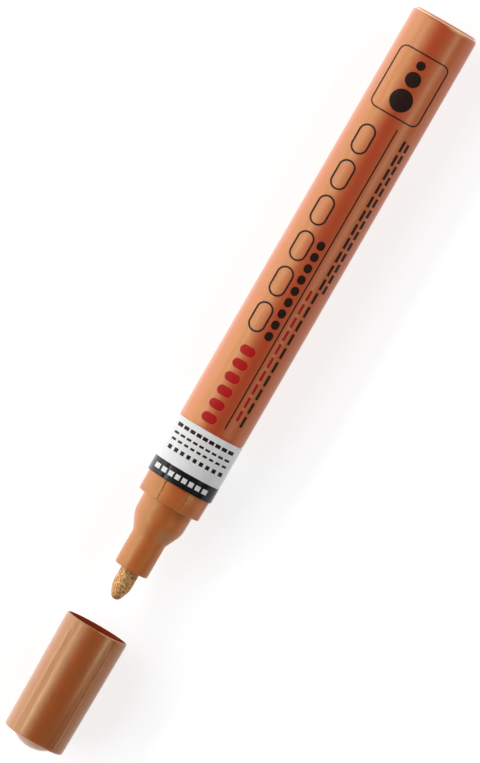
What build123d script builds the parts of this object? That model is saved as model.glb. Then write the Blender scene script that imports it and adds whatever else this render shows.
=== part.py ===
from build123d import *
import math
import os

# A valve-action paint marker, lying along X with its cap pulled off, in millimetres.
# +X runs to the rear end, the nib and the cap point to -X, and +Z is up.
# The origin is on the table, under the middle of the whole length.

# Barrel: drawn aluminium tube, necked in under the label
barrel_diameter = 15.0
barrel_length = 111.4
barrel_wall = 0.5
base_wall = 0.8
base_corner = 1.35
label_length = 13.1
label_setback = 0.1
label_film = 0.23
label_gap = 1.6
film_gap = 0.02
neck_in = 0.15
neck_in_run = 0.6
lip_round = 0.12

# Rolled bead that locks the front section in the barrel, hidden under the label
bead_setback = 7.6
bead_radius = 0.8
bead_depth = 0.35

# Front section: panelled collar, neck, cone and nib tube in one moulding
collar_step = 0.3
collar_length = 4.5
collar_draft = 0.1
collar_edge = 0.25
panel_count = 8
panel_groove_depth = 0.2
neck_step = 1.375
neck_length = 4.4
neck_draft = 0.1
shoulder_round = 4.4
cone_step = 1.775
cone_length = 3.7
cone_foot_round = 0.6
tube_length = 7.75
tube_edge_share = 0.3
spigot_length = 10.0
spigot_wall = 1.6
spigot_lead = 0.3
chamber_diameter = 7.6
chamber_length = 7.2
chamber_taper = 1.0
flute_count = 6
flute_share = 0.27
flute_stop = 2.5

# Seal ring in a groove of the spigot
seal_setback = 3.6
seal_groove_width = 1.3
seal_groove_depth = 0.85

# Nib: fibre rod with a bullet end
nib_diameter = 4.2
nib_reach = 6.9
nib_length = 22.6
nib_tip_length = 2.9
nib_tip_round = 4.0
nib_nose_diameter = 1.8
nib_nose_round = 1.1
nib_tail_round = 0.3

# Valve: seat ring, stem, washer, spring and cage, behind the nib
seat_recess = 0.8
seat_thickness = 1.6
seat_hole_diameter = 3.0
seat_lip_width = 0.5
seat_lip_height = 0.4
rod_diameter = 1.8
washer_thickness = 0.8
head_thickness = 1.3
head_flow_gap = 1.2
head_rim = 0.4
stem_edge = 0.25
tail_overhang = 1.0
spring_space = 7.0
spring_wire = 0.5
spring_turns = 5
cage_wall = 0.95
cage_end_wall = 1.2
cage_flange = 1.0
window_land = 0.25
window_spokes = 4
spoke_width = 1.4

# Loose mixing ball
ball_diameter = 6.0
ball_place_share = 0.45

# Cap: ribbed shell with a soft inner cap that closes on the nib tube
cap_gap = 7.0
cap_wall = 1.365
cap_taper = 0.325
cap_rim = 0.9
cap_lead_in = 1.4
cap_end_wall = 1.65
cap_mouth_edge = 0.3
cap_end_edge = 0.6
dome_diameter = 9.2
dome_height = 1.75
rib_angle = 41
rib_width = 1.1
rib_height = 0.16
rib_start = 2.3
rib_ramp = 0.8
rib_root = 0.75
nib_room = 1.65
cup_wall = 0.75
cup_base = 1.0
cup_room = 0.8
cup_edge = 0.2
cup_lip_setback = 1.0
cup_lip_run = 0.6

# Clearances
press_gap = 0.05
slide_gap = 0.1
touch_gap = 0.05
ball_gap = 0.05
cap_clearance = 0.06
cup_clearance = 0.12
cup_lip_clearance = 0.05

# Radii that follow from the sizes, from the barrel inwards
barrel_r = barrel_diameter / 2
bore_r = barrel_r - barrel_wall
necked_r = barrel_r - neck_in
label_bore_r = necked_r + film_gap
label_r = label_bore_r + label_film
necked_bore_r = bore_r - neck_in
bead_centre_r = necked_r + bead_radius - bead_depth
spigot_r = necked_bore_r - press_gap
spigot_bore_r = spigot_r - spigot_wall
seal_groove_r = spigot_r - seal_groove_depth
seal_wire_r = (necked_bore_r - seal_groove_r) / 2 - film_gap
collar_r = barrel_r - collar_step
collar_front_r = collar_r - collar_draft
neck_r = collar_front_r - neck_step
neck_front_r = neck_r - neck_draft
tube_r = neck_front_r - cone_step
nib_r = nib_diameter / 2
nib_bore_r = nib_r + slide_gap
tube_wall = tube_r - nib_bore_r
tube_edge = tube_edge_share * tube_wall
flute_r = flute_share * tube_wall
chamber_r = chamber_diameter / 2
cage_r = spigot_bore_r - press_gap
cage_bore_r = cage_r - cage_wall
rod_r = rod_diameter / 2
seat_hole_r = seat_hole_diameter / 2
head_r = cage_bore_r - head_flow_gap
spring_outer_r = head_r - head_rim
spring_r = spring_outer_r - spring_wire / 2
tail_r = spring_r - spring_wire / 2 - head_rim
cap_bore_r = neck_r + cap_clearance
cap_mouth_r = cap_bore_r + cap_wall
cap_end_r = cap_mouth_r - cap_taper
cup_r = tube_r + cup_clearance
cup_outer_r = cup_r + cup_wall
ball_r = ball_diameter / 2
dome_r = dome_diameter / 2

# Stations along the axis, as distances from the rear face
mouth = barrel_length
collar_front = mouth + collar_length
neck_front = collar_front + neck_length
cone_front = neck_front + cone_length
tube_front = cone_front + tube_length
nib_tip = tube_front + nib_reach
nib_tail = nib_tip - nib_length
cap_mouth = nib_tip + cap_gap
cap_depth = neck_length + cone_length + tube_length + nib_reach + nib_room + cup_base
cap_end = cap_mouth + cap_depth + cap_end_wall
dome_top = cap_end + dome_height
label_front = mouth - label_setback
label_rear = label_front - label_length
spigot_rear = mouth - spigot_length
bead_place = mouth - bead_setback
seal_place = mouth - seal_setback
seat_stop = mouth - seat_recess
chamber_front = seat_stop + chamber_length
seat_front = seat_stop - touch_gap
seat_rear = seat_front - seat_thickness
seat_lip = seat_rear - seat_lip_height
washer_front = seat_lip - touch_gap
washer_rear = washer_front - washer_thickness
head_front = washer_rear - touch_gap
head_rear = head_front - head_thickness
cage_floor = head_rear - spring_space
cage_rear = cage_floor - cage_end_wall
tail_end = cage_rear - tail_overhang
flange_front = spigot_rear - touch_gap
ball_place = base_wall + ball_place_share * (cage_rear - base_wall)
cup_mouth = cap_mouth + neck_length + cone_length + cup_room
cup_floor = cap_mouth + cap_depth - cup_base

# The marker's frame: it lies on the two ends of its label, which stands a little proud of the barrel
rear_x = dome_top / 2
axis_height = math.sqrt(label_r**2 - (label_gap / 2) ** 2)
marker_axis = Axis((rear_x, 0, axis_height), (1, 0, 0))


def side_plane(turn=0):
    """A plane through the axis: its x runs from the rear face to the nib, its y outwards."""
    angle = math.radians(turn)
    origin = (rear_x, 0, axis_height)
    return Plane(origin=origin, x_dir=(-1, 0, 0), z_dir=(0, math.cos(angle), math.sin(angle)))


def cross_plane(station):
    """A plane across the axis at a station, facing the nib, with its y upwards."""
    return Plane(origin=(rear_x - station, 0, axis_height), x_dir=(0, -1, 0), z_dir=(-1, 0, 0))


def turned(corners, turn=0):
    """A face in a side plane from (station, radius, corner rounding) corners."""
    points = [(station, radius) for station, radius, rounding in corners]
    roundings = [rounding for station, radius, rounding in corners]
    with BuildSketch(side_plane(turn)) as outline:
        with BuildLine():
            FilletPolyline(*points, radius=roundings, close=True)
        make_face()
    return outline.sketch


def ring(rear, front, inner_r, outer_r, turn=0):
    """The turned outline of a plain ring between two stations."""
    return turned(
        [
            (rear, inner_r, 0),
            (rear, outer_r, 0),
            (front, outer_r, 0),
            (front, inner_r, 0),
        ],
        turn,
    )


# Barrel
with BuildPart() as barrel:
    revolve(
        turned(
            [
                (0, 0, 0),
                (0, barrel_r, base_corner),
                (label_rear - neck_in_run, barrel_r, 0),
                (label_rear, necked_r, 0),
                (mouth, necked_r, lip_round),
                (mouth, necked_bore_r, lip_round),
                (label_rear, necked_bore_r, 0),
                (label_rear - neck_in_run, bore_r, 0),
                (base_wall, bore_r, base_corner - barrel_wall),
                (base_wall, 0, 0),
            ]
        ),
        axis=marker_axis,
    )
    with BuildSketch(side_plane()):
        with Locations((bead_place, bead_centre_r)):
            Circle(bead_radius + barrel_wall)
        with Locations((bead_place, necked_r)):
            Rectangle(barrel_length, barrel_wall, align=(Align.CENTER, Align.MAX), mode=Mode.SUBTRACT)
            Rectangle(barrel_length, barrel_r, align=(Align.CENTER, Align.MIN), mode=Mode.SUBTRACT)
    revolve(axis=marker_axis)
    with BuildSketch(side_plane()):
        with Locations((bead_place, bead_centre_r)):
            Circle(bead_radius)
    revolve(axis=marker_axis, mode=Mode.SUBTRACT)

# Label sleeve: film wrapped round the barrel, whose ends stop short of each other underneath
with BuildPart() as label_sleeve:
    gap_arc = 2 * math.degrees(math.asin(label_gap / 2 / label_r))
    revolve(
        ring(label_rear, label_front, label_bore_r, label_r, 180 + gap_arc / 2),
        axis=marker_axis,
        revolution_arc=360 - gap_arc,
    )

# Front section
with BuildPart() as front_section:
    revolve(
        turned(
            [
                (spigot_rear, spigot_bore_r, 0),
                (spigot_rear, spigot_r, spigot_lead),
                (mouth, spigot_r, 0),
                (mouth, collar_r, 0),
                (collar_front, collar_front_r, collar_edge),
                (collar_front, neck_r, 0),
                (neck_front, neck_front_r, shoulder_round),
                (cone_front, tube_r, cone_foot_round),
                (tube_front, tube_r, tube_edge),
                (tube_front, nib_bore_r, 0),
                (chamber_front, nib_bore_r, 0),
                (chamber_front - chamber_taper, chamber_r, 0),
                (seat_stop, chamber_r, 0),
                (seat_stop, spigot_bore_r, 0),
            ]
        ),
        axis=marker_axis,
    )
    # Grooves for the seal ring and for the barrel's rolled bead
    revolve(
        ring(
            seal_place - seal_groove_width / 2,
            seal_place + seal_groove_width / 2,
            seal_groove_r,
            necked_bore_r,
        ),
        axis=marker_axis,
        mode=Mode.SUBTRACT,
    )
    with BuildSketch(side_plane()):
        with Locations((bead_place, bead_centre_r)):
            Circle(bead_radius + barrel_wall + press_gap)
    revolve(axis=marker_axis, mode=Mode.SUBTRACT)
    # Narrow vee grooves that part the collar's panels
    with BuildSketch(cross_plane(mouth)):
        with PolarLocations(collar_r, panel_count, start_angle=180 / panel_count):
            RegularPolygon(panel_groove_depth, 4)
    extrude(amount=collar_length, mode=Mode.SUBTRACT)
    # Flutes that lead the paint along the nib
    with BuildSketch(cross_plane(chamber_front - chamber_taper)):
        with PolarLocations(nib_bore_r, flute_count):
            Circle(flute_r)
    extrude(amount=tube_front - flute_stop - chamber_front + chamber_taper, mode=Mode.SUBTRACT)

# Seal ring between the spigot and the barrel
with BuildPart() as section_seal:
    with BuildSketch(side_plane()):
        with Locations((seal_place, seal_groove_r + film_gap + seal_wire_r)):
            Circle(seal_wire_r)
    revolve(axis=marker_axis)

# Nib
with BuildPart() as nib:
    revolve(
        turned(
            [
                (nib_tail, 0, 0),
                (nib_tail, nib_r, nib_tail_round),
                (nib_tip - nib_tip_length, nib_r, nib_tip_round),
                (nib_tip, nib_nose_diameter / 2, nib_nose_round),
                (nib_tip, 0, 0),
            ]
        ),
        axis=marker_axis,
    )

# Valve seat: a ring with a raised lip round its hole
with BuildPart() as valve_seat:
    revolve(
        turned(
            [
                (seat_lip, seat_hole_r, 0),
                (seat_lip, seat_hole_r + seat_lip_width, seat_lip_width / 3),
                (seat_rear, seat_hole_r + seat_lip_width, 0),
                (seat_rear, cage_r, 0),
                (seat_front, cage_r, 0),
                (seat_front, seat_hole_r, 0),
            ]
        ),
        axis=marker_axis,
    )

# Valve stem: rod to the nib, head, and tail guided by the cage
with BuildPart() as valve_stem:
    revolve(
        turned(
            [
                (tail_end, 0, 0),
                (tail_end, tail_r, stem_edge),
                (head_rear, tail_r, 0),
                (head_rear, head_r, stem_edge),
                (head_front, head_r, 0),
                (head_front, rod_r, 0),
                (nib_tail - touch_gap, rod_r, stem_edge),
                (nib_tail - touch_gap, 0, 0),
            ]
        ),
        axis=marker_axis,
    )

# Rubber washer on the stem's head
with BuildPart() as stem_washer:
    revolve(
        ring(washer_rear, washer_front, rod_r + film_gap, head_r),
        axis=marker_axis,
    )


def coil_point(turns):
    """A point on the spring's centre line, by turns from the head of the stem."""
    angle = 2 * math.pi * turns
    length = spring_space - spring_wire - 2 * touch_gap
    station = head_rear - touch_gap - spring_wire / 2 - length * turns / spring_turns
    return Vector(rear_x - station, spring_r * math.cos(angle), axis_height + spring_r * math.sin(angle))


def coil_heading(turns):
    """The unit direction of the spring's centre line at that point."""
    angle = 2 * math.pi * turns
    rise = (spring_space - spring_wire - 2 * touch_gap) / spring_turns
    round_trip = 2 * math.pi * spring_r
    return Vector(rise, -round_trip * math.sin(angle), round_trip * math.cos(angle)).normalized()


# Valve spring: each quarter turn is two arcs that meet in one direction
with BuildPart() as valve_spring:
    with BuildLine() as coil:
        for quarter in range(4 * spring_turns):
            start, end = coil_point(quarter / 4), coil_point((quarter + 1) / 4)
            heading, leaving = coil_heading(quarter / 4), coil_heading((quarter + 1) / 4)
            chord = end - start
            spread = 2 * (1 - heading.dot(leaving))
            along = chord.dot(heading + leaving)
            reach = (math.sqrt(along**2 + spread * chord.dot(chord)) - along) / spread
            knot_in, knot_out = start + heading * reach, end - leaving * reach
            middle = (knot_in + knot_out) / 2
            TangentArc(start, middle, tangent=heading)
            TangentArc(middle, end, tangent=knot_out - knot_in)
    with BuildSketch(Plane(origin=coil_point(0), z_dir=coil_heading(0))):
        Circle(spring_wire / 2)
    sweep(path=coil.line)

# Least gap between the spring's turns, measured on points half a turn or more apart
steps_per_turn = 24
coil_points = [coil_point(step / steps_per_turn) for step in range(spring_turns * steps_per_turn + 1)]
least_gap = min(
    (coil_points[first] - coil_points[second]).length - spring_wire
    for first in range(len(coil_points))
    for second in range(first + steps_per_turn // 2, len(coil_points))
)
print(f"valve spring: least gap between turns {least_gap:.2f} mm")

# Valve cage: cup with a flange on the spigot's end and windows for the paint
with BuildPart() as valve_cage:
    revolve(
        turned(
            [
                (seat_rear - touch_gap, cage_bore_r, 0),
                (seat_rear - touch_gap, cage_r, 0),
                (flange_front, cage_r, 0),
                (flange_front, spigot_r, 0),
                (flange_front - cage_flange, spigot_r, 0),
                (flange_front - cage_flange, cage_r, 0),
                (cage_rear, cage_r, 0),
                (cage_rear, tail_r + slide_gap, 0),
                (cage_floor, tail_r + slide_gap, 0),
                (cage_floor, cage_bore_r, 0),
            ]
        ),
        axis=marker_axis,
    )
    with BuildSketch(cross_plane(cage_rear)):
        Circle(cage_bore_r)
        Circle(spring_outer_r + window_land, mode=Mode.SUBTRACT)
        with PolarLocations(0, window_spokes // 2, angular_range=180):
            Rectangle(2 * cage_r, spoke_width, mode=Mode.SUBTRACT)
    extrude(amount=cage_end_wall, mode=Mode.SUBTRACT)

# Mixing ball, lying on the barrel's wall
ball_height = axis_height - bore_r + ball_r + ball_gap
with BuildPart(Plane(origin=(rear_x - ball_place, 0, ball_height))) as mixing_ball:
    Sphere(ball_r)


def cap_surface(distance):
    """The cap's outer radius at a distance from its mouth."""
    return cap_mouth_r - cap_taper * distance / (cap_end - cap_mouth)


# Cap shell: tapered cup with a domed end and four ribs
with BuildPart() as cap_shell:
    revolve(
        turned(
            [
                (cap_mouth, 0, 0),
                (cap_mouth, cap_mouth_r, cap_mouth_edge),
                (cap_end, cap_end_r, cap_end_edge),
                (cap_end, 0, 0),
            ]
        ),
        axis=marker_axis,
    )
    with BuildSketch(side_plane()):
        with BuildLine():
            dome_sphere_r = (dome_r**2 + dome_height**2) / (2 * dome_height)
            dome_span = math.degrees(math.asin(dome_r / dome_sphere_r))
            CenterArc((dome_top - dome_sphere_r, 0), dome_sphere_r, 0, dome_span)
            Polyline((cap_end, dome_r), (cap_end, 0), (dome_top, 0))
        make_face()
    revolve(axis=marker_axis)
    rib_arc = math.degrees(rib_width / cap_mouth_r)
    cap_length = cap_end - cap_mouth
    for rib_turn in (rib_angle, 180 - rib_angle, 180 + rib_angle, -rib_angle):
        with BuildSketch(side_plane(rib_turn - rib_arc / 2)):
            with BuildLine():
                ramp_end = rib_start + rib_ramp
                edge_start = cap_length - cap_end_edge
                Polyline(
                    (cap_mouth + rib_start, cap_surface(rib_start) - rib_root),
                    (cap_mouth + rib_start, cap_surface(rib_start)),
                    (cap_mouth + ramp_end, cap_surface(ramp_end) + rib_height),
                    (cap_mouth + edge_start, cap_surface(edge_start) + rib_height),
                    (cap_end, cap_end_r - cap_end_edge / 2),
                    (cap_end, cap_end_r - rib_root),
                    close=True,
                )
            make_face()
        revolve(axis=marker_axis, revolution_arc=rib_arc)
    revolve(
        turned(
            [
                (cap_mouth, 0, 0),
                (cap_mouth, cap_mouth_r - cap_rim, 0),
                (cap_mouth + cap_lead_in, cap_bore_r, 0),
                (cap_mouth + cap_depth, cap_bore_r, 0),
                (cap_mouth + cap_depth, 0, 0),
            ]
        ),
        axis=marker_axis,
        mode=Mode.SUBTRACT,
    )

# Inner cap: cup on a base that is pressed into the cap, with a sealing lip
with BuildPart() as inner_cap:
    lip_start = cup_mouth + cup_lip_setback
    cup_back = cap_mouth + cap_depth - touch_gap
    revolve(
        turned(
            [
                (cup_mouth, cup_r, cup_edge),
                (cup_mouth, cup_outer_r, cup_edge),
                (cup_floor, cup_outer_r, 0),
                (cup_floor, cap_bore_r - press_gap, cup_edge),
                (cup_back, cap_bore_r - press_gap, 0),
                (cup_back, 0, 0),
                (cup_floor, 0, 0),
                (cup_floor, cup_r, cup_edge),
                (lip_start + 2 * cup_lip_run, cup_r, 0),
                (lip_start + cup_lip_run, tube_r + cup_lip_clearance, 0),
                (lip_start, cup_r, 0),
            ]
        ),
        axis=marker_axis,
    )

# Labels and files
pieces = {
    "barrel": barrel,
    "label_sleeve": label_sleeve,
    "front_section": front_section,
    "section_seal": section_seal,
    "nib": nib,
    "valve_seat": valve_seat,
    "valve_stem": valve_stem,
    "stem_washer": stem_washer,
    "valve_spring": valve_spring,
    "valve_cage": valve_cage,
    "mixing_ball": mixing_ball,
    "cap_shell": cap_shell,
    "inner_cap": inner_cap,
}
os.makedirs("parts", exist_ok=True)
for piece_name, piece in pieces.items():
    piece.part.label = piece_name
    export_step(piece.part, f"parts/{piece_name}.step")
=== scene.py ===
import math

import bmesh
import bpy
from mathutils import Matrix, Vector


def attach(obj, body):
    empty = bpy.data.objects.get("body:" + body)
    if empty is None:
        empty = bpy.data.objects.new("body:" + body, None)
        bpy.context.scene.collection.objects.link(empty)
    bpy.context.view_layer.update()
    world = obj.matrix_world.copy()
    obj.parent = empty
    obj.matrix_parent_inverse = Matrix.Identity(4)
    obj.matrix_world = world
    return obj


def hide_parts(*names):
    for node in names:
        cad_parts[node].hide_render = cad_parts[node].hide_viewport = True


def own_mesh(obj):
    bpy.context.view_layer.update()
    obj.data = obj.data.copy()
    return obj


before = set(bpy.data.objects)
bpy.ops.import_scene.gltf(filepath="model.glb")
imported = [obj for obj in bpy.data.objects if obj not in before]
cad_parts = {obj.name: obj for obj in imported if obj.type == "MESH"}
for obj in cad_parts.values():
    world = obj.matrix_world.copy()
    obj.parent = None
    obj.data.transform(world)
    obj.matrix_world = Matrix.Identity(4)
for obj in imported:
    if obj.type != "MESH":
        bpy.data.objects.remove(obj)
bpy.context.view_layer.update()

# The marker's frame. Lengths are in millimetres, and mm turns them into metres.
# Lights, camera and floor are in metres.
# Stations run along the axis from the rear face to the nib, and turns go round the axis from straight up.
mm = 0.001
rear_face = 87.225
axis_height = 7.5578
axis_centre = Vector((0, 0, axis_height * mm))

# Points closer than this are taken as one
weld = 0.0005 * mm

# Rounded corners in an outline: steps to each millimetre of radius, and their limits
steps_per_mm = 10
fewest_steps = 3
most_steps = 12

# Edges flatter than these angles are shaded smooth
smooth_angle = 32
fibre_smooth_angle = 60
wire_smooth_angle = 50

# Barrel
barrel_r = 7.5
barrel_bore_r = 7.0
necked_r = 7.35
necked_bore_r = 6.85
barrel_corner = 1.35
base_wall = 0.8
neck_in_rear = 97.6
neck_in_round = 0.2
mouth = 111.4
lip_round = 0.12
bead_place = 103.8
bead_run = 0.85
bead_depth = 0.35
bead_round = 0.6
# Stations from the rear face between which a pale band is painted on the rear rim as a highlight
rim_highlight_rear = 0.42
rim_highlight_front = 0.62
barrel_sides = 180

# Label
label_rear = 98.2
label_front = 111.3
label_bore_r = 7.37
label_r = 7.58
label_edge = 0.05
label_gap = 1.6
label_gap_overrun = 1.0
band_rear = 107.9
band_edge = 0.004
ink_height = 0.012

# Front section
spigot_rear = 101.4
spigot_r = 6.8
spigot_edge = 0.3
spigot_bore_r = 5.2
spigot_bead_run = 1.0
spigot_bead_round = 0.7
seal_groove_rear = 107.15
seal_groove_front = 108.45
seal_groove_r = 6.0
collar_r = 7.2
collar_front_r = 7.1
collar_front = 115.9
collar_edge = 0.25
collar_rear_edge = 0.06
panel_count = 8
groove_depth = 0.2
groove_rear_overrun = 0.1
groove_front_overrun = 0.3
neck_r = 5.725
neck_foot_round = 0.15
neck_front_r = 5.625
neck_front = 120.3
shoulder_round = 4.4
cone_front = 124.0
cone_foot_round = 0.6
tube_r = 3.85
tube_front = 131.75
tube_edge = 0.5
nib_bore_r = 2.2
nib_bore_edge = 0.08
chamber_r = 3.8
chamber_front = 117.8
chamber_taper = 1.0
seat_stop = 110.6
section_sides = 160

# Nib
nib_r = 2.1
nib_tail = 116.05
nib_tail_edge = 0.3
nib_tip = 138.65
nib_tip_length = 2.9
nib_tip_round = 4.0
nib_nose_r = 0.9
nib_nose_round = 1.1
nib_row = 0.3
nib_sides = 96
fibre_size = 0.35
fibre_depth = 0.05

# Cap
cap_mouth = 145.65
cap_end = 172.7
cap_mouth_r = 7.15
cap_end_r = 6.825
cap_rim = 0.9
cap_rim_edge = 0.08
cap_mouth_edge = 0.3
cap_end_edge = 0.6
cap_lead_in = 1.4
cap_bore_r = 5.785
cap_bore_end = 171.05
cap_bore_round = 0.2
dome_r = 4.6
dome_height = 1.75
dome_steps = 10
cap_sides = 160
rib_turn = 41.0
rib_height = 0.15
rib_root = 0.45
rib_foot_width = 2.3
rib_start = 2.3
rib_ramp = 0.8
rib_sink = 0.02
rib_end_gap = 0.02
rib_top_width = 0.5
rib_edge = 0.12
rib_edge_steps = 3

# Inner cap
cup_mouth = 154.55
cup_floor = 170.05
cup_back = 171.0
cup_r = 3.97
cup_outer_r = 4.72
cup_base_r = 5.735
cup_edge = 0.2
cup_foot_round = 0.2
cup_back_edge = 0.1
cup_lip_r = 3.9
cup_lip_start = 155.55
cup_lip_run = 0.6
cup_lip_round = 0.3
cup_sides = 96

# Valve spring
spring_r = 2.35
spring_wire = 0.5
spring_turns = 5
spring_front = 106.05
spring_rear = 99.65
wire_sides = 20
steps_per_turn = 40

# Prints: how far over the marker they are drawn, and how finely they are sliced to bend
print_level = axis_height + 9.0
slice_width = 0.25
pill_sides = 28
bar_corner_steps = 8

# Finishes: the middle range of a noise, where most of its values lie
noise_low = 0.3
noise_high = 0.7


def clear_selection():
    """Leaves edit mode and selects nothing."""
    if bpy.context.object and bpy.context.object.mode != "OBJECT":
        bpy.ops.object.mode_set(mode="OBJECT")
    bpy.ops.object.select_all(action="DESELECT")


def spot(station, radius):
    """A point straight over the axis by its station and its distance from the axis."""
    return Vector(((rear_face - station) * mm, 0, (axis_height + radius) * mm))


def named(piece, name):
    """Names the piece and its mesh."""
    piece.name = name
    piece.data.name = name
    return piece


def choose(piece, kind, test):
    """Selects, in edit mode, the vertices, edges or faces that pass the test."""
    bpy.ops.mesh.select_mode(type={"verts": "VERT", "edges": "EDGE", "faces": "FACE"}[kind])
    bpy.ops.mesh.select_all(action="DESELECT")
    shape = bmesh.from_edit_mesh(piece.data)
    for item in getattr(shape, kind):
        item.select_set(bool(test(item)))
    shape.select_flush_mode()
    bmesh.update_edit_mesh(piece.data)


def smooth(piece, angle=smooth_angle):
    """Shades the piece smooth apart from its sharp edges."""
    clear_selection()
    piece.select_set(True)
    bpy.context.view_layer.objects.active = piece
    bpy.ops.object.shade_smooth_by_angle(angle=math.radians(angle))


def apply_all(piece):
    """Applies the piece's modifiers."""
    clear_selection()
    piece.select_set(True)
    bpy.context.view_layer.objects.active = piece
    for modifier in list(piece.modifiers):
        bpy.ops.object.modifier_apply(modifier=modifier.name)


def corner_reach(before, corner, after, rounding):
    """How far along its two lines a rounded corner starts."""
    first, second = (before - corner).normalized(), (after - corner).normalized()
    return rounding * mm / math.tan(first.angle(second) / 2)


def turned(name, corners, sides):
    """Draws half an outline from (station, radius, rounding) corners and spins it round the axis."""
    places = [spot(station, radius) for station, radius, rounding in corners]
    clear_selection()
    bpy.ops.mesh.primitive_plane_add(size=mm, location=places[0])
    piece = named(bpy.context.object, name)
    bpy.ops.object.transform_apply(location=True, rotation=True, scale=True)
    bpy.ops.object.mode_set(mode="EDIT")
    bpy.ops.mesh.select_mode(type="VERT")
    bpy.ops.mesh.select_all(action="SELECT")
    bpy.ops.mesh.merge(type="CENTER")
    for before, after in zip(places, places[1:]):
        bpy.ops.mesh.extrude_region_move(TRANSFORM_OT_translate={"value": after - before})
    on_axis = corners[0][1] == 0 and corners[-1][1] == 0
    if not on_axis:
        ends = (places[0], places[-1])
        choose(piece, "verts", lambda v: min((v.co - end).length for end in ends) < weld)
        bpy.ops.mesh.edge_face_add()
    for number, (station, radius, rounding) in enumerate(corners):
        if rounding:
            corner = places[number]
            after = places[(number + 1) % len(places)]
            choose(piece, "verts", lambda v: (v.co - corner).length < weld)
            bpy.ops.mesh.bevel(
                offset_type="OFFSET",
                offset=corner_reach(places[number - 1], corner, after, rounding),
                segments=max(fewest_steps, min(most_steps, round(steps_per_mm * rounding))),
                affect="VERTICES",
                clamp_overlap=False,
            )
    bpy.ops.mesh.select_mode(type="VERT")
    bpy.ops.mesh.select_all(action="SELECT")
    bpy.ops.mesh.spin(steps=sides, angle=2 * math.pi, center=axis_centre, axis=(1, 0, 0))
    bpy.ops.mesh.select_all(action="SELECT")
    bpy.ops.mesh.remove_doubles(threshold=weld)
    bpy.ops.mesh.normals_make_consistent(inside=False)
    bpy.ops.object.mode_set(mode="OBJECT")
    return piece


def block(name, rear, front, low_r, high_r, width):
    """A bar along the axis at the top of the marker, between two stations and two radii."""
    clear_selection()
    middle = spot((rear + front) / 2, (low_r + high_r) / 2)
    bpy.ops.mesh.primitive_cube_add(size=1, location=middle)
    piece = named(bpy.context.object, name)
    piece.scale = ((front - rear) * mm, width * mm, (high_r - low_r) * mm)
    bpy.ops.object.transform_apply(location=True, rotation=True, scale=True)
    bpy.ops.object.mode_set(mode="EDIT")
    bpy.ops.mesh.select_all(action="SELECT")
    return piece


def turn_selected(degrees):
    """Turns what is selected in edit mode about the marker's axis."""
    bpy.ops.transform.rotate(value=math.radians(degrees), orient_axis="X", center_override=axis_centre)


def combine(piece, tool, operation):
    """Cuts the tool from the piece or joins it on."""
    clear_selection()
    modifier = piece.modifiers.new(operation.lower(), "BOOLEAN")
    modifier.operation = operation
    modifier.solver = "EXACT"
    modifier.object = tool
    apply_all(piece)
    bpy.data.objects.remove(tool)


# Finishes


def new_finish(name, colour, roughness, metallic=0.0):
    """A material with one Principled shader, and its node tree."""
    material = bpy.data.materials.new(name)
    material.use_nodes = True
    tree = material.node_tree
    shader = tree.nodes["Principled BSDF"]
    shader.inputs["Base Color"].default_value = (*colour, 1)
    shader.inputs["Roughness"].default_value = roughness
    shader.inputs["Metallic"].default_value = metallic
    return material, tree, shader


def grain(tree, scale, detail, stretch=(1, 1, 1)):
    """A noise on the piece's own coordinates, with that many grains to the metre."""
    place = tree.nodes.new("ShaderNodeTexCoord")
    mapping = tree.nodes.new("ShaderNodeMapping")
    mapping.inputs["Scale"].default_value = stretch
    noise = tree.nodes.new("ShaderNodeTexNoise")
    noise.inputs["Scale"].default_value = scale
    noise.inputs["Detail"].default_value = detail
    tree.links.new(place.outputs["Object"], mapping.inputs["Vector"])
    tree.links.new(mapping.outputs["Vector"], noise.inputs["Vector"])
    return noise.outputs["Fac"]


def shades(tree, factor, stops):
    """A colour ramp over the factor, from (position, colour) stops."""
    ramp = tree.nodes.new("ShaderNodeValToRGB")
    while len(ramp.color_ramp.elements) < len(stops):
        ramp.color_ramp.elements.new(1.0)
    for element, (position, colour) in zip(ramp.color_ramp.elements, stops):
        element.position = position
        element.color = (*colour, 1)
    tree.links.new(factor, ramp.inputs["Fac"])
    return ramp.outputs["Color"]


def levels(tree, factor, low, high):
    """Maps a noise's middle range to the range from low to high."""
    scale = tree.nodes.new("ShaderNodeMapRange")
    scale.inputs["From Min"].default_value = noise_low
    scale.inputs["From Max"].default_value = noise_high
    scale.inputs["To Min"].default_value = low
    scale.inputs["To Max"].default_value = high
    tree.links.new(factor, scale.inputs["Value"])
    return scale.outputs["Result"]


def relief(tree, shader, factor, depth, strength):
    """A bump of that depth in millimetres on the shader's normal."""
    bump = tree.nodes.new("ShaderNodeBump")
    bump.inputs["Strength"].default_value = strength
    bump.inputs["Distance"].default_value = depth * mm
    tree.links.new(factor, bump.inputs["Height"])
    tree.links.new(bump.outputs["Normal"], shader.inputs["Normal"])


def toned(colour, share):
    """The colour, made darker or lighter by a share."""
    return tuple(share * part for part in colour)


def painted_rim_highlight(tree, tone, colour, rear, front):
    """Paints a pale colour over the tone between two stations: a painted highlight along a rim."""
    place = tree.nodes.new("ShaderNodeTexCoord")
    along_axis = tree.nodes.new("ShaderNodeSeparateXYZ")
    tree.links.new(place.outputs["Object"], along_axis.inputs["Vector"])
    from_middle = tree.nodes.new("ShaderNodeMath")
    from_middle.operation = "COMPARE"
    from_middle.inputs[1].default_value = (rear_face - (rear + front) / 2) * mm
    from_middle.inputs[2].default_value = (front - rear) / 2 * mm
    tree.links.new(along_axis.outputs["X"], from_middle.inputs[0])
    mix = tree.nodes.new("ShaderNodeMixRGB")
    tree.links.new(from_middle.outputs["Value"], mix.inputs["Fac"])
    tree.links.new(tone, mix.inputs["Color1"])
    mix.inputs["Color2"].default_value = (*colour, 1)
    return mix.outputs["Color"]


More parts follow.
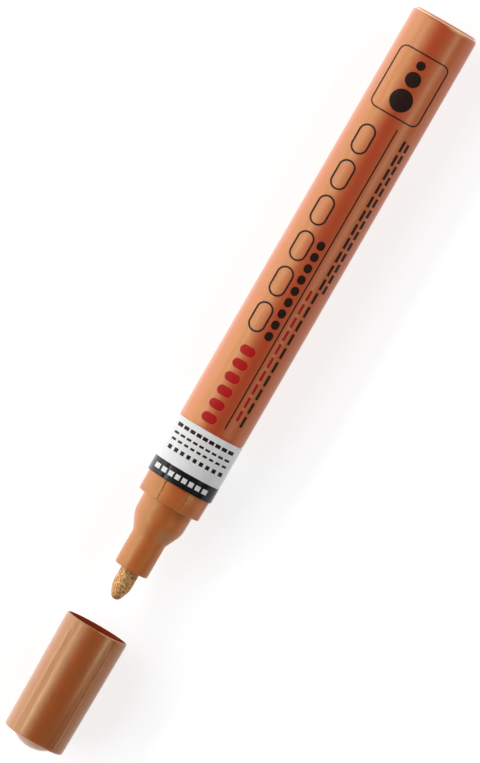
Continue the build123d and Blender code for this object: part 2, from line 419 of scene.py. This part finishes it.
def orange_lacquer(colour, reflection, rim_highlight_colour):
    """Metallic orange lacquer on drawn aluminium: red in the shade, gold in the light, with fine flakes and a
    painted highlight along the rear rim.
    """
    material, tree, shader = new_finish("orange metallic lacquer", colour, roughness=0.38)
    flakes = grain(tree, scale=5200, detail=2.0)
    tone = shades(tree, flakes, [(noise_low, toned(colour, 0.9)), (noise_high, toned(colour, 1.1))])
    # Painted highlight: a pale band across the rounded rear rim
    tone = painted_rim_highlight(tree, tone, rim_highlight_colour, rim_highlight_rear, rim_highlight_front)
    tree.links.new(tone, shader.inputs["Base Color"])
    lines = grain(tree, scale=900, detail=3.0, stretch=(0.04, 1, 1))
    tree.links.new(levels(tree, lines, low=0.45, high=0.53), shader.inputs["Roughness"])
    relief(tree, shader, flakes, depth=0.002, strength=0.3)
    shader.inputs["IOR"].default_value = 2.3
    shader.inputs["Specular Tint"].default_value = (*reflection, 1)
    shader.inputs["Coat Weight"].default_value = 0.6
    shader.inputs["Coat Roughness"].default_value = 0.28
    return material


def copper_plastic(name, colour, reflection, roughness, pearl, gloss):
    """Moulded plastic with a copper pearl pigment: brown in the shade, tan in the light, with soft clouds."""
    material, tree, shader = new_finish(name, colour, roughness)
    clouds = grain(tree, scale=420, detail=4.0)
    tone = shades(tree, clouds, [(noise_low, toned(colour, 0.95)), (noise_high, toned(colour, 1.05))])
    tree.links.new(tone, shader.inputs["Base Color"])
    pits = grain(tree, scale=2600, detail=2.0)
    sheen = levels(tree, pits, low=roughness - 0.03, high=roughness + 0.03)
    tree.links.new(sheen, shader.inputs["Roughness"])
    relief(tree, shader, pits, depth=0.0015, strength=0.2)
    shader.inputs["IOR"].default_value = pearl
    shader.inputs["Specular Tint"].default_value = (*reflection, 1)
    shader.inputs["Coat Weight"].default_value = gloss
    shader.inputs["Coat Roughness"].default_value = 0.25
    return material


def paint_soaked_fibre():
    """Pressed fibre soaked with gold paint: dark gaps and bright flecks between the fibres."""
    material, tree, shader = new_finish("gold soaked fibre", (0.55, 0.3, 0.1), roughness=0.55, metallic=0.25)
    fibres = grain(tree, scale=3300, detail=3.0, stretch=(0.6, 1, 1))
    colour = shades(
        tree,
        fibres,
        [
            (0.3, (0.12, 0.045, 0.012)),
            (0.44, (0.46, 0.21, 0.06)),
            (0.56, (0.66, 0.34, 0.11)),
            (0.72, (0.93, 0.66, 0.34)),
        ],
    )
    tree.links.new(colour, shader.inputs["Base Color"])
    tree.links.new(levels(tree, fibres, low=0.65, high=0.4), shader.inputs["Roughness"])
    relief(tree, shader, fibres, depth=0.05, strength=0.6)
    return material


def glossy_film(name, colour, shadow, gloss):
    """Printed plastic film: a glossy skin with faint waves and a slightly uneven tone."""
    material, tree, shader = new_finish(name, colour, roughness=0.2)
    tone = shades(tree, grain(tree, scale=160, detail=3.0), [(noise_low, shadow), (noise_high, colour)])
    tree.links.new(tone, shader.inputs["Base Color"])
    waves = grain(tree, scale=700, detail=2.0)
    tree.links.new(levels(tree, waves, low=0.16, high=0.24), shader.inputs["Roughness"])
    relief(tree, shader, waves, depth=0.004, strength=0.3)
    shader.inputs["Specular IOR Level"].default_value = gloss
    shader.inputs["Coat Weight"].default_value = gloss
    shader.inputs["Coat Roughness"].default_value = 0.06
    return material


def printed_ink(name, colour, thin):
    """Screen-printed ink: satin, with small thin places."""
    material, tree, shader = new_finish(name, colour, roughness=0.42)
    cover = grain(tree, scale=3000, detail=3.0)
    tree.links.new(shades(tree, cover, [(0.32, thin), (0.5, colour)]), shader.inputs["Base Color"])
    tree.links.new(levels(tree, cover, low=0.5, high=0.38), shader.inputs["Roughness"])
    shader.inputs["Specular IOR Level"].default_value = 0.15
    return material


def black_rubber():
    """Matte black rubber with a fine moulded grain."""
    material, tree, shader = new_finish("black seal rubber", (0.025, 0.025, 0.026), roughness=0.7)
    skin = grain(tree, scale=3500, detail=3.0)
    tone = shades(tree, skin, [(noise_low, (0.018, 0.018, 0.019)), (noise_high, (0.035, 0.035, 0.036))])
    tree.links.new(tone, shader.inputs["Base Color"])
    tree.links.new(levels(tree, skin, low=0.62, high=0.8), shader.inputs["Roughness"])
    relief(tree, shader, skin, depth=0.01, strength=0.5)
    return material


def natural_plastic(name, colour, shadow):
    """Undyed plastic: milky, with a little light passing under its skin."""
    material, tree, shader = new_finish(name, colour, roughness=0.42)
    cloud = grain(tree, scale=500, detail=3.0)
    tone = shades(tree, cloud, [(noise_low, shadow), (noise_high, colour)])
    tree.links.new(tone, shader.inputs["Base Color"])
    tree.links.new(levels(tree, cloud, low=0.36, high=0.5), shader.inputs["Roughness"])
    relief(tree, shader, grain(tree, scale=2800, detail=2.0), depth=0.004, strength=0.3)
    shader.inputs["Subsurface Weight"].default_value = 0.15
    shader.inputs["Subsurface Scale"].default_value = 0.5 * mm
    return material


def bright_steel(name, roughness):
    """Bright steel with fine working lines."""
    material, tree, shader = new_finish(name, (0.62, 0.62, 0.63), roughness, metallic=1.0)
    lines = grain(tree, scale=2500, detail=3.0)
    tone = shades(tree, lines, [(noise_low, (0.54, 0.54, 0.55)), (noise_high, (0.68, 0.68, 0.69))])
    tree.links.new(tone, shader.inputs["Base Color"])
    tree.links.new(levels(tree, lines, low=roughness * 0.8, high=roughness * 1.3), shader.inputs["Roughness"])
    relief(tree, shader, lines, depth=0.003, strength=0.3)
    return material


lacquer = orange_lacquer(
    colour=(0.5, 0.016, 0.009),
    reflection=(0.9, 0.95, 0.3),
    # The pale colour of the painted rim highlight
    rim_highlight_colour=(0.9, 0.62, 0.42),
)
section_plastic = copper_plastic(
    "copper section plastic",
    colour=(0.54, 0.127, 0.027),
    reflection=(0.68, 1.0, 0.48),
    roughness=0.4,
    pearl=1.75,
    gloss=0.15,
)
cap_plastic = copper_plastic(
    "copper cap plastic",
    colour=(0.39, 0.085, 0.015),
    reflection=(1.0, 0.97, 0.56),
    roughness=0.32,
    pearl=1.95,
    gloss=0.2,
)
# Darker copper inside the cap's mouth: painted shade
bore_plastic_in_painted_shade = copper_plastic(
    "copper bore plastic in painted shade",
    colour=(0.25, 0.03, 0.01),
    reflection=(1.0, 0.5, 0.2),
    roughness=0.75,
    pearl=1.25,
    gloss=0.0,
)
fibre = paint_soaked_fibre()
white_film = glossy_film(
    "white label film", colour=(0.84, 0.84, 0.83), shadow=(0.79, 0.79, 0.79), gloss=0.12
)
black_film = glossy_film(
    "black label print", colour=(0.01, 0.01, 0.011), shadow=(0.015, 0.015, 0.016), gloss=0.15
)
dark_ink = printed_ink("dark print", colour=(0.02, 0.009, 0.007), thin=(0.04, 0.016, 0.01))
red_ink = printed_ink("red print", colour=(0.44, 0.007, 0.008), thin=(0.46, 0.02, 0.014))
pale_ink = printed_ink("pale print", colour=(0.8, 0.8, 0.79), thin=(0.6, 0.6, 0.6))
rubber = black_rubber()
valve_plastic = natural_plastic(
    "natural valve plastic", colour=(0.8, 0.8, 0.77), shadow=(0.74, 0.74, 0.71)
)
liner_plastic = natural_plastic(
    "natural liner plastic", colour=(0.78, 0.75, 0.69), shadow=(0.7, 0.67, 0.61)
)
spring_steel = bright_steel("drawn spring wire", roughness=0.24)
ball_steel = bright_steel("polished ball steel", roughness=0.1)


def fit(piece, finish, body, slot_name, *nodes):
    """Gives a piece its finish and its body, and hides the nodes that it stands for. slot_name is not used.
    """
    piece.data.materials.clear()
    piece.data.materials.append(finish)
    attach(piece, body)
    if nodes:
        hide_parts(*nodes)


# Barrel: drawn tube, necked in under the label, with the bead that locks the front section
barrel_tube = turned(
    "barrel_tube",
    [
        (0, 0, 0),
        (0, barrel_r, barrel_corner),
        (neck_in_rear, barrel_r, neck_in_round),
        (label_rear, necked_r, neck_in_round),
        (bead_place - bead_run, necked_r, 0),
        (bead_place, necked_r - bead_depth, bead_round),
        (bead_place + bead_run, necked_r, 0),
        (mouth, necked_r, lip_round),
        (mouth, necked_bore_r, lip_round),
        (bead_place + bead_run, necked_bore_r, 0),
        (bead_place, necked_bore_r - bead_depth, bead_round),
        (bead_place - bead_run, necked_bore_r, 0),
        (label_rear, necked_bore_r, 0),
        (neck_in_rear, barrel_bore_r, 0),
        (base_wall, barrel_bore_r, barrel_corner - (barrel_r - barrel_bore_r)),
        (base_wall, 0, 0),
    ],
    barrel_sides,
)
smooth(barrel_tube)
fit(barrel_tube, lacquer, "marker", "lacquered_aluminium", "barrel")


def cut_label_gap(piece):
    """Cuts the gap between the label's ends, underneath the marker."""
    cutter = block(
        "gap_cutter",
        label_rear - label_gap_overrun,
        label_front + label_gap_overrun,
        label_bore_r - label_gap_overrun,
        label_r + label_gap_overrun,
        label_gap,
    )
    turn_selected(180)
    combine(piece, cutter, "DIFFERENCE")


# Label film, with its black band
label_film = turned(
    "label_film",
    [
        (label_rear, label_bore_r, 0),
        (label_rear, label_r, label_edge),
        (label_front, label_r, label_edge),
        (label_front, label_bore_r, 0),
    ],
    barrel_sides,
)
cut_label_gap(label_film)
smooth(label_film)
fit(label_film, white_film, "marker", "label_film", "label_sleeve")
label_band = turned(
    "label_band",
    [
        (band_rear, label_r - ink_height, 0),
        (band_rear, label_r + ink_height / 2, 0),
        (label_front, label_r + ink_height / 2, band_edge),
        (label_front + ink_height / 2, label_r - ink_height, 0),
    ],
    barrel_sides,
)
cut_label_gap(label_band)
smooth(label_band)
fit(label_band, black_film, "marker", "label_film")

# Front section: panelled collar, neck, rounded shoulder, cone and nib tube
front_moulding = turned(
    "front_moulding",
    [
        (spigot_rear, spigot_bore_r, 0),
        (spigot_rear, spigot_r, spigot_edge),
        (bead_place - spigot_bead_run, spigot_r, 0),
        (bead_place, spigot_r - bead_depth, spigot_bead_round),
        (bead_place + spigot_bead_run, spigot_r, 0),
        (seal_groove_rear, spigot_r, 0),
        (seal_groove_rear, seal_groove_r, 0),
        (seal_groove_front, seal_groove_r, 0),
        (seal_groove_front, spigot_r, 0),
        (mouth, spigot_r, 0),
        (mouth, collar_r, collar_rear_edge),
        (collar_front, collar_front_r, collar_edge),
        (collar_front, neck_r, neck_foot_round),
        (neck_front, neck_front_r, shoulder_round),
        (cone_front, tube_r, cone_foot_round),
        (tube_front, tube_r, tube_edge),
        (tube_front, nib_bore_r, nib_bore_edge),
        (chamber_front, nib_bore_r, 0),
        (chamber_front - chamber_taper, chamber_r, 0),
        (seat_stop, chamber_r, 0),
        (seat_stop, spigot_bore_r, 0),
    ],
    section_sides,
)
groove_side = groove_depth * math.sqrt(2)
groove_cutter = block(
    "groove_cutter",
    mouth - groove_rear_overrun,
    collar_front + groove_front_overrun,
    collar_r - groove_side / 2,
    collar_r + groove_side / 2,
    groove_side,
)
bpy.ops.transform.rotate(value=math.pi / 4, orient_axis="X", center_override=spot(mouth, collar_r))
turn_selected(180 / panel_count)
for panel in range(panel_count - 1):
    bpy.ops.mesh.duplicate()
    turn_selected(360 / panel_count)
combine(front_moulding, groove_cutter, "DIFFERENCE")
smooth(front_moulding)
fit(front_moulding, section_plastic, "marker", "section_plastic", "front_section")


def between(start, end, start_gap, end_gap):
    """Corners in even rows along a straight line, from one gap after its start to another before its end."""
    line = Vector(end) - Vector(start)
    rows = max(1, round((line.length - start_gap - end_gap) / nib_row))
    places = []
    for row in range(rows + 1):
        share = (start_gap + (line.length - start_gap - end_gap) * row / rows) / line.length
        places.append((*(Vector(start) + share * line), 0))
    return places


# Nib: a round fibre rod with a bullet tip, its skin raised and sunk by the fibres
nib_front = (tube_front, nib_r)
nib_corner = (nib_tip - nib_tip_length, nib_r)
nib_nose = (nib_tip, nib_nose_r)
nib_taper = math.atan2(nib_r - nib_nose_r, nib_tip_length)
corner_gap = nib_tip_round * math.tan(nib_taper / 2) + nib_row
nose_gap = nib_nose_round * math.tan((math.pi / 2 - nib_taper) / 2) + nib_row
fibre_nib = turned(
    "fibre_nib",
    [
        (nib_tail, 0, 0),
        (nib_tail, nib_r, nib_tail_edge),
        *between(nib_front, nib_corner, 0, corner_gap),
        (*nib_corner, nib_tip_round),
        *between(nib_corner, nib_nose, corner_gap, nose_gap),
        (*nib_nose, nib_nose_round),
        (nib_tip, 0, 0),
    ],
    nib_sides,
)
fibre_clouds = bpy.data.textures.new("fibre clouds", "CLOUDS")
fibre_clouds.noise_scale = fibre_size * mm
raised = fibre_nib.modifiers.new("fibres", "DISPLACE")
raised.texture = fibre_clouds
raised.texture_coords = "LOCAL"
raised.strength = fibre_depth * mm
apply_all(fibre_nib)
smooth(fibre_nib, fibre_smooth_angle)
fit(fibre_nib, fibre, "nib", "nib_fibre", "nib")


def cap_surface(distance):
    """The cap's outer radius at a distance from its mouth."""
    return cap_mouth_r - (cap_mouth_r - cap_end_r) * distance / (cap_end - cap_mouth)


# Cap: tapered cup with a rounded end, a shallow dome and four ribs
dome_sphere_r = (dome_r**2 + dome_height**2) / (2 * dome_height)
dome_span = math.asin(dome_r / dome_sphere_r)
dome_centre = cap_end + dome_height - dome_sphere_r
dome_corners = []
for step in range(dome_steps):
    angle = dome_span * (1 - step / dome_steps)
    dome_corners.append(
        (dome_centre + dome_sphere_r * math.cos(angle), dome_sphere_r * math.sin(angle), 0)
    )
cap_moulding = turned(
    "cap_moulding",
    [
        (cap_bore_end, 0, 0),
        (cap_bore_end, cap_bore_r, cap_bore_round),
        (cap_mouth + cap_lead_in, cap_bore_r, cap_bore_round),
        (cap_mouth, cap_mouth_r - cap_rim, cap_rim_edge),
        (cap_mouth, cap_mouth_r, cap_mouth_edge),
        (cap_end, cap_end_r, cap_end_edge),
        *dome_corners,
        (cap_end + dome_height, 0, 0),
    ],
    cap_sides,
)

# Ribs of the cap
rib_end = cap_end - cap_mouth - cap_end_edge
rib_stop = cap_end - cap_mouth - rib_end_gap
rib_top = cap_mouth_r + rib_height
ribs = block(
    "ribs",
    cap_mouth + rib_start,
    cap_mouth + rib_stop,
    rib_top - rib_root,
    rib_top,
    rib_foot_width,
)
for bisected in (rib_start + rib_ramp, rib_end):
    bpy.ops.mesh.select_all(action="SELECT")
    bpy.ops.mesh.bisect(plane_co=spot(cap_mouth + bisected, 0), plane_no=(1, 0, 0))
choose(ribs, "verts", lambda v: v.co.z > (axis_height + rib_top) * mm - weld)
bpy.ops.transform.resize(
    value=(1, rib_top_width / rib_foot_width, 1), center_override=spot(cap_mouth, rib_top)
)
for distance, radius in (
    (rib_start, cap_surface(rib_start) - rib_sink),
    (rib_start + rib_ramp, cap_surface(rib_start + rib_ramp) + rib_height),
    (rib_end, cap_surface(rib_end) + rib_height),
    (rib_stop, cap_end_r - cap_end_edge / 2),
):
    here = spot(cap_mouth + distance, 0).x
    choose(ribs, "verts", lambda v: abs(v.co.x - here) < weld)
    bpy.ops.transform.translate(value=(0, 0, (radius - rib_top) * mm))
rib_side = rib_top_width / 2 * mm
choose(
    ribs,
    "edges",
    lambda e: all(abs(v.co.y - rib_side) < weld for v in e.verts)
    or all(abs(v.co.y + rib_side) < weld for v in e.verts),
)
bpy.ops.mesh.bevel(offset=rib_edge * mm, segments=rib_edge_steps, affect="EDGES")
bpy.ops.mesh.select_all(action="SELECT")
turn_selected(rib_turn)
for turn in (180 - 2 * rib_turn, 2 * rib_turn, 180 - 2 * rib_turn):
    bpy.ops.mesh.duplicate()
    turn_selected(turn)
combine(cap_moulding, ribs, "UNION")
smooth(cap_moulding)
fit(cap_moulding, cap_plastic, "cap", "cap_plastic", "cap_shell")

# Inside its mouth the cap is matt, and coloured darker as painted shade
cap_moulding.data.materials.append(bore_plastic_in_painted_shade)
cap_moulding.active_material_index = 1
bore_reach = (cap_mouth_r - cap_mouth_edge) * mm + weld
bore_back = (rear_face - cap_bore_end) * mm - weld
bpy.ops.object.mode_set(mode="EDIT")
choose(
    cap_moulding,
    "faces",
    lambda f: all((v.co - axis_centre).yz.length < bore_reach and v.co.x > bore_back for v in f.verts),
)
bpy.ops.object.material_slot_assign()
bpy.ops.object.mode_set(mode="OBJECT")

# Inner cap: soft cup on a base, with a sealing lip
cap_liner = turned(
    "cap_liner",
    [
        (cup_floor, 0, 0),
        (cup_floor, cup_r, cup_edge),
        (cup_lip_start + 2 * cup_lip_run, cup_r, cup_lip_round),
        (cup_lip_start + cup_lip_run, cup_lip_r, cup_lip_round),
        (cup_lip_start, cup_r, cup_lip_round),
        (cup_mouth, cup_r, cup_edge),
        (cup_mouth, cup_outer_r, cup_edge),
        (cup_floor, cup_outer_r, cup_foot_round),
        (cup_floor, cup_base_r, cup_edge),
        (cup_back, cup_base_r, cup_back_edge),
        (cup_back, 0, 0),
    ],
    cup_sides,
)
smooth(cap_liner)
fit(cap_liner, liner_plastic, "cap", "inner_cap_plastic", "inner_cap")

# Valve spring: a wire wound in five turns, at one length; the real one shortens as the stem comes back
clear_selection()
bpy.ops.mesh.primitive_circle_add(
    vertices=wire_sides,
    radius=spring_wire / 2 * mm,
    location=((rear_face - spring_front) * mm, 0, spring_r * mm),
    rotation=(math.pi / 2, 0, 0),
)
coil_spring = named(bpy.context.object, "coil_spring")
bpy.ops.object.transform_apply(location=True, rotation=True, scale=True)
winding = coil_spring.modifiers.new("winding", "SCREW")
winding.axis = "X"
winding.angle = 2 * math.pi
winding.iterations = spring_turns
winding.screw_offset = (spring_front - spring_rear) / spring_turns * mm
winding.steps = steps_per_turn
winding.render_steps = steps_per_turn
apply_all(coil_spring)
bpy.ops.object.mode_set(mode="EDIT")
bpy.ops.mesh.select_mode(type="EDGE")
bpy.ops.mesh.select_all(action="DESELECT")
bpy.ops.mesh.select_non_manifold()
bpy.ops.mesh.edge_face_add()
bpy.ops.mesh.select_all(action="SELECT")
bpy.ops.transform.translate(value=axis_centre)
bpy.ops.mesh.normals_make_consistent(inside=False)
smooth(coil_spring, wire_smooth_angle)
fit(coil_spring, spring_steel, "marker", "spring_steel", "valve_spring")
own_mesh(coil_spring)

# Pieces inside the marker keep their solids
for node, finish in (
    ("section_seal", rubber),
    ("stem_washer", rubber),
    ("valve_seat", valve_plastic),
    ("valve_stem", valve_plastic),
    ("valve_cage", valve_plastic),
    ("mixing_ball", ball_steel),
):
    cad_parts[node].data.materials.clear()
    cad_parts[node].data.materials.append(finish)


# Prints: flat marks over the marker, laid down on it and given the ink's thickness


def flat_spot(station, side):
    """A point over the marker by its station and its distance to the photograph's right."""
    return Vector(((rear_face - station) * mm, -side * mm, print_level * mm))


def stretch_round(piece, station, side, half_length, half_width):
    """Pulls a circle apart along or across the marker into a pill."""
    centre = flat_spot(station, side)
    radius = min(half_length, half_width)
    along, across = half_length - radius, half_width - radius
    for way in (1, -1):
        if along:
            choose(piece, "verts", lambda v: (v.co.x - centre.x) * way > weld)
            bpy.ops.transform.translate(value=(way * along * mm, 0, 0))
        if across:
            choose(piece, "verts", lambda v: (v.co.y - centre.y) * way > weld)
            bpy.ops.transform.translate(value=(0, way * across * mm, 0))


def pill(station, side, length, width, line=0.0):
    """A flat pill or dot, whole or as an outline of that line width."""
    clear_selection()
    radius = min(length, width) / 2
    bpy.ops.mesh.primitive_circle_add(
        vertices=pill_sides, radius=radius * mm, fill_type="NGON", location=flat_spot(station, side)
    )
    piece = named(bpy.context.object, "pill")
    bpy.ops.object.transform_apply(location=True, rotation=True, scale=True)
    bpy.ops.object.mode_set(mode="EDIT")
    bpy.ops.mesh.select_all(action="SELECT")
    turn_step = math.pi / pill_sides
    bpy.ops.transform.rotate(value=turn_step, orient_axis="Z", center_override=flat_spot(station, side))
    stretch_round(piece, station, side, length / 2, width / 2)
    if line:
        bpy.ops.mesh.select_mode(type="FACE")
        bpy.ops.mesh.select_all(action="SELECT")
        bpy.ops.mesh.inset(thickness=line * mm)
        bpy.ops.mesh.delete(type="FACE")
    bpy.ops.object.mode_set(mode="OBJECT")
    return piece


def bar(station, side, length, width, corner=0.0, line=0.0):
    """A flat bar, with square or rounded corners, whole or as an outline."""
    clear_selection()
    bpy.ops.mesh.primitive_plane_add(size=1, location=flat_spot(station, side))
    piece = named(bpy.context.object, "bar")
    piece.scale = (length * mm, width * mm, 1)
    bpy.ops.object.transform_apply(location=True, rotation=True, scale=True)
    bpy.ops.object.mode_set(mode="EDIT")
    bpy.ops.mesh.select_all(action="SELECT")
    if corner:
        bpy.ops.mesh.bevel(offset=corner * mm, segments=bar_corner_steps, affect="VERTICES")
    if line:
        bpy.ops.mesh.select_mode(type="FACE")
        bpy.ops.mesh.select_all(action="SELECT")
        bpy.ops.mesh.inset(thickness=line * mm)
        bpy.ops.mesh.delete(type="FACE")
    bpy.ops.object.mode_set(mode="OBJECT")
    return piece


def lay_print(name, marks, carrier, ink, body, slot_name):
    """Joins flat marks, slices them to bend with the surface, lays them on it and thickens them."""
    clear_selection()
    for mark in marks:
        mark.select_set(True)
    bpy.context.view_layer.objects.active = marks[0]
    bpy.ops.object.join()
    piece = named(bpy.context.object, name)
    bpy.ops.object.mode_set(mode="EDIT")
    sides = [v.co.y / mm for v in bmesh.from_edit_mesh(piece.data).verts]
    slices = range(math.ceil(min(sides) / slice_width), math.floor(max(sides) / slice_width) + 1)
    for number in slices:
        bpy.ops.mesh.select_all(action="SELECT")
        bpy.ops.mesh.bisect(plane_co=(0, number * slice_width * mm, 0), plane_no=(0, 1, 0))
    bpy.ops.object.mode_set(mode="OBJECT")
    laid = piece.modifiers.new("laid", "SHRINKWRAP")
    laid.wrap_method = "PROJECT"
    laid.use_project_z = True
    laid.use_positive_direction = False
    laid.use_negative_direction = True
    laid.target = carrier
    laid.offset = ink_height * mm
    thick = piece.modifiers.new("thick", "SOLIDIFY")
    thick.thickness = ink_height * mm
    thick.offset = -1
    apply_all(piece)
    smooth(piece)
    fit(piece, ink, body, slot_name)


def marks_along(mark, count, first, pitch, side, **size):
    """A row of equal marks along the marker."""
    return [mark(first + pitch * number, side, **size) for number in range(count)]


def bars_across(count, station, first, pitch, length, width):
    """A row of equal bars across the marker."""
    return [bar(station, first + pitch * number, length, width) for number in range(count)]


dark_marks = [
    bar(station=15.3, side=-0.1, length=14.6, width=11.4, corner=1.6, line=0.3),
    pill(station=10.6, side=-0.1, length=2.0, width=2.0),
    pill(station=13.9, side=-0.1, length=3.4, width=3.4),
    pill(station=18.8, side=-0.1, length=5.0, width=5.0),
    bar(station=60.3, side=2.3, length=71.6, width=0.27),
]
dark_marks += marks_along(
    pill, count=6, first=29.6, pitch=8.5, side=-2.9, length=6.9, width=3.8, line=0.4
)
dark_marks += marks_along(pill, count=9, first=53.2, pitch=2.7, side=0.6, length=2.0, width=1.7)
dark_marks += marks_along(bar, count=21, first=27.0, pitch=3.3, side=4.9, length=2.5, width=0.55)
dark_marks += marks_along(bar, count=14, first=27.0, pitch=2.6, side=5.9, length=1.9, width=0.55)
red_marks = marks_along(pill, count=6, first=79.6, pitch=3.2, side=-1.7, length=2.1, width=3.4)
red_marks += marks_along(bar, count=10, first=63.4, pitch=3.2, side=3.6, length=2.4, width=0.6)
lay_print("barrel_print_dark", dark_marks, barrel_tube, dark_ink, "marker", "lacquered_aluminium")
lay_print("barrel_print_red", red_marks, barrel_tube, red_ink, "marker", "lacquered_aluminium")

label_marks = bars_across(count=9, station=99.9, first=-6.1, pitch=1.5, length=0.8, width=1.15)
label_marks += bars_across(count=9, station=101.7, first=-6.0, pitch=1.5, length=0.5, width=1.05)
label_marks += bars_across(count=9, station=103.1, first=-5.9, pitch=1.5, length=0.5, width=0.95)
label_marks += bars_across(count=9, station=104.9, first=-5.8, pitch=1.5, length=0.9, width=0.85)
lay_print("label_print_dark", label_marks, label_film, dark_ink, "marker", "label_film")
band_marks = bars_across(count=8, station=109.6, first=-6.0, pitch=1.6, length=1.1, width=1.1)
lay_print("label_print_pale", band_marks, label_band, pale_ink, "marker", "label_film")

# Floor: it glows for the camera, and for reflections more to the photograph's left than to its right
camera_glow = 0.7
left_glow = 1.7
right_glow = 0.4
glow_turnover = 0.02
floor_size = 6.0
clear_selection()
bpy.ops.mesh.primitive_plane_add(size=floor_size, location=(0, 0, 0))
floor = named(bpy.context.object, "floor")
floor_material, floor_tree, floor_shader = new_finish("white table", (0.5, 0.5, 0.5), roughness=0.9)
floor_place = floor_tree.nodes.new("ShaderNodeTexCoord")
floor_axes = floor_tree.nodes.new("ShaderNodeSeparateXYZ")
floor_tree.links.new(floor_place.outputs["Object"], floor_axes.inputs["Vector"])
side_glow = floor_tree.nodes.new("ShaderNodeMapRange")
side_glow.inputs["From Min"].default_value = -glow_turnover
side_glow.inputs["From Max"].default_value = glow_turnover
side_glow.inputs["To Min"].default_value = right_glow
side_glow.inputs["To Max"].default_value = left_glow
floor_tree.links.new(floor_axes.outputs["Y"], side_glow.inputs["Value"])
paths = floor_tree.nodes.new("ShaderNodeLightPath")
mirrored = floor_tree.nodes.new("ShaderNodeMath")
mirrored.operation = "MULTIPLY"
floor_tree.links.new(paths.outputs["Is Glossy Ray"], mirrored.inputs[0])
floor_tree.links.new(side_glow.outputs["Result"], mirrored.inputs[1])
glow = floor_tree.nodes.new("ShaderNodeMath")
glow.operation = "MULTIPLY_ADD"
floor_tree.links.new(paths.outputs["Is Camera Ray"], glow.inputs[0])
glow.inputs[1].default_value = camera_glow
floor_tree.links.new(mirrored.outputs["Value"], glow.inputs[2])
floor_shader.inputs["Emission Color"].default_value = (1, 1, 1, 1)
floor_tree.links.new(glow.outputs["Value"], floor_shader.inputs["Emission Strength"])
floor.data.materials.append(floor_material)

# Lights
box_distance = 0.9


def soft_light(name, turn, width, length, power, middle=0.0):
    """A soft box beside the marker, square to it, at a turn from straight up, with its middle at that X."""
    angle = math.radians(turn)
    way = Vector((0, -math.sin(angle), math.cos(angle)))
    lamp = bpy.data.lights.new(name, "AREA")
    lamp.shape = "RECTANGLE"
    lamp.size = length
    lamp.size_y = width
    lamp.energy = power
    light = bpy.data.objects.new(name, lamp)
    bpy.context.scene.collection.objects.link(light)
    across = Vector((1, 0, 0))
    matrix = Matrix((across, way.cross(across), way)).transposed().to_4x4()
    matrix.translation = axis_centre + box_distance * way + middle * across
    light.matrix_world = matrix


soft_light("low left box", turn=-80, width=0.28, length=1.6, power=4.2)
soft_light("left strip", turn=-55, width=0.1, length=1.6, power=3.4)
soft_light("front left strip", turn=-50, width=0.12, length=0.12, power=0.3, middle=-0.2)
soft_light("high left box", turn=-38, width=0.25, length=1.6, power=1.4)
soft_light("front left fill", turn=-58, width=0.7, length=0.9, power=3.3, middle=-1.0)
soft_light("right box", turn=56, width=0.2, length=0.46, power=0.95, middle=0.14)
soft_light("rear right fill", turn=56, width=1.0, length=1.2, power=12.5, middle=1.2)
soft_light("front right fill", turn=56, width=1.0, length=1.2, power=3.0, middle=-1.2)

# Sky: grey tones by their place from the photograph's right, at 0, to its left, at 1
sky_tones = ((0.0, 0.03), (0.2, 0.14), (0.5, 0.03), (0.75, 0.25), (1.0, 0.05))
world = bpy.data.worlds.new("studio")
bpy.context.scene.world = world
world.use_nodes = True
world_tree = world.node_tree
sky_place = world_tree.nodes.new("ShaderNodeTexCoord")
sky_axes = world_tree.nodes.new("ShaderNodeSeparateXYZ")
world_tree.links.new(sky_place.outputs["Generated"], sky_axes.inputs["Vector"])
sky_side = world_tree.nodes.new("ShaderNodeMapRange")
sky_side.inputs["From Min"].default_value = -1.0
world_tree.links.new(sky_axes.outputs["Y"], sky_side.inputs["Value"])
sky_stops = [(place, (tone, tone, tone)) for place, tone in sky_tones]
sky = shades(world_tree, sky_side.outputs["Result"], sky_stops)
world_tree.links.new(sky, world_tree.nodes["Background"].inputs["Color"])

# Camera: high over the rear end, rolled so that the marker lies from upper right to lower left
camera_place = 0.0721
camera_side = -0.000094
camera_height = 1.523
camera_roll = 60
target_place = 0.001
eye = Vector((camera_place, camera_side, axis_height * mm + camera_height))
target = Vector((target_place, camera_side, axis_height * mm))
back = (eye - target).normalized()
along = (Vector((1, 0, 0)) - back.x * back).normalized()
across = back.cross(along)
roll = math.radians(camera_roll)
right = math.cos(roll) * along - math.sin(roll) * across
up = math.sin(roll) * along + math.cos(roll) * across
lens = bpy.data.cameras.new("camera")
lens.lens = 345.3
lens.sensor_width = 36
lens.clip_start = 0.05
lens.clip_end = 20
camera = bpy.data.objects.new("camera", lens)
camera.matrix_world = Matrix((right, up, back)).transposed().to_4x4()
camera.location = eye
bpy.context.scene.collection.objects.link(camera)
bpy.context.scene.camera = camera

bpy.context.scene.view_settings.view_transform = "Standard"
